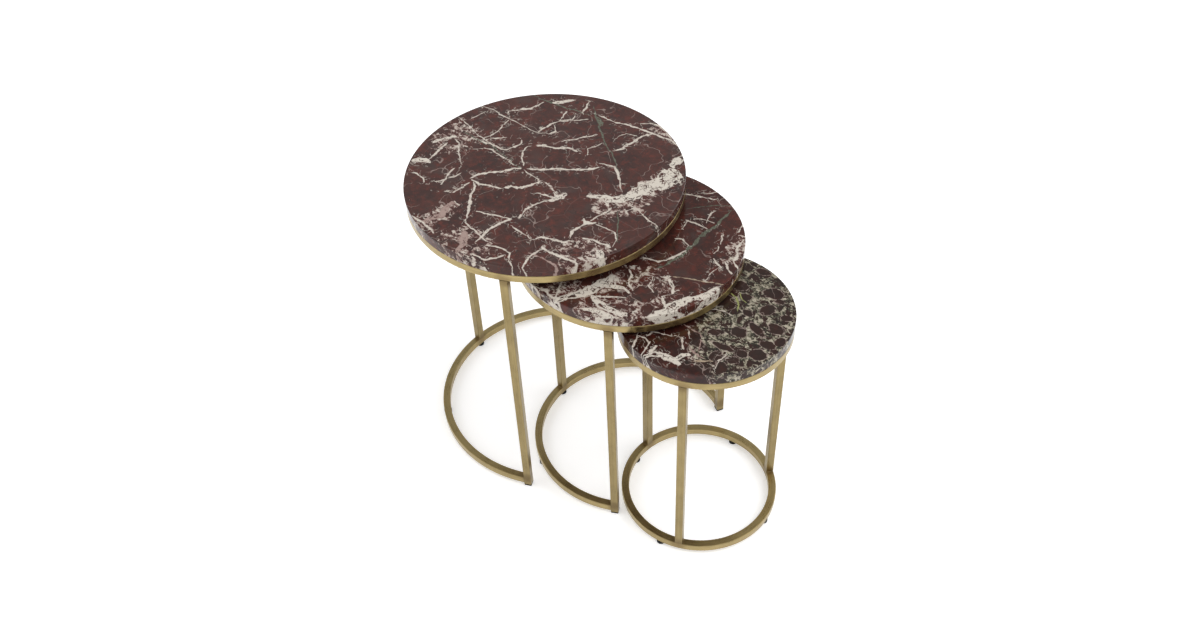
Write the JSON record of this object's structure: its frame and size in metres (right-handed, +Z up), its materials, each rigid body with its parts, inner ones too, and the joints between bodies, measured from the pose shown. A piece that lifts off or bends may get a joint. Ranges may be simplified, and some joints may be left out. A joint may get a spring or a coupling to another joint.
{
  "type": "nesting tables",
  "caption": "Round nesting side tables with polished marble tops on square-tube brass frames, each sliding out from under the next larger one.",
  "frame": {"origin": "on the floor, at the centre of the whole set's outline", "axes": "+Z up, +X the way the smaller tables slide out, +Y to the right as seen from in front of the set's open side"},
  "size_m": [0.7764, 0.5, 0.5825],
  "materials": {
    "large_stone": "polished burgundy marble with white and green veins",
    "middle_stone": "polished burgundy marble with white and green veins",
    "small_stone": "polished burgundy marble with white and green veins",
    "brass_tube": "fine brushed antique brass, lacquered",
    "black_plastic": "matt black",
    "tab_steel": "plated like the frame",
    "screw_steel": "zinc plated",
    "insert_brass": "plain turned"
  },
  "bodies": {
    "large_table": {"large_marble_top": "large_stone", "large_top_ring": "brass_tube", "large_base_arc": "brass_tube", "large_right_leg": "brass_tube", "large_back_leg": "brass_tube", "large_left_leg": "brass_tube", "large_end_caps": "black_plastic", "large_glides": "black_plastic", "large_fixing_tabs": "tab_steel", "large_fixing_screws": "screw_steel", "large_stone_inserts": "insert_brass"},
    "middle_table": {"middle_marble_top": "middle_stone", "middle_top_ring": "brass_tube", "middle_base_arc": "brass_tube", "middle_right_leg": "brass_tube", "middle_back_leg": "brass_tube", "middle_left_leg": "brass_tube", "middle_end_caps": "black_plastic", "middle_glides": "black_plastic", "middle_fixing_tabs": "tab_steel", "middle_fixing_screws": "screw_steel", "middle_stone_inserts": "insert_brass"},
    "small_table": {"small_marble_top": "small_stone", "small_top_ring": "brass_tube", "small_base_ring": "brass_tube", "small_right_leg": "brass_tube", "small_back_leg": "brass_tube", "small_left_leg": "brass_tube", "small_glides": "black_plastic", "small_fixing_tabs": "tab_steel", "small_fixing_screws": "screw_steel", "small_stone_inserts": "insert_brass"}
  },
  "joints": [
    {"name": "middle_slide", "type": "slide", "parent": "large_table", "child": "middle_table", "axis": [1, 0, 0], "range_m": [-0.188, 0.27]},
    {"name": "small_slide", "type": "slide", "parent": "middle_table", "child": "small_table", "axis": [0.9563, -0.2924, 0], "range_m": [-0.187, 0.17]}
  ]
}
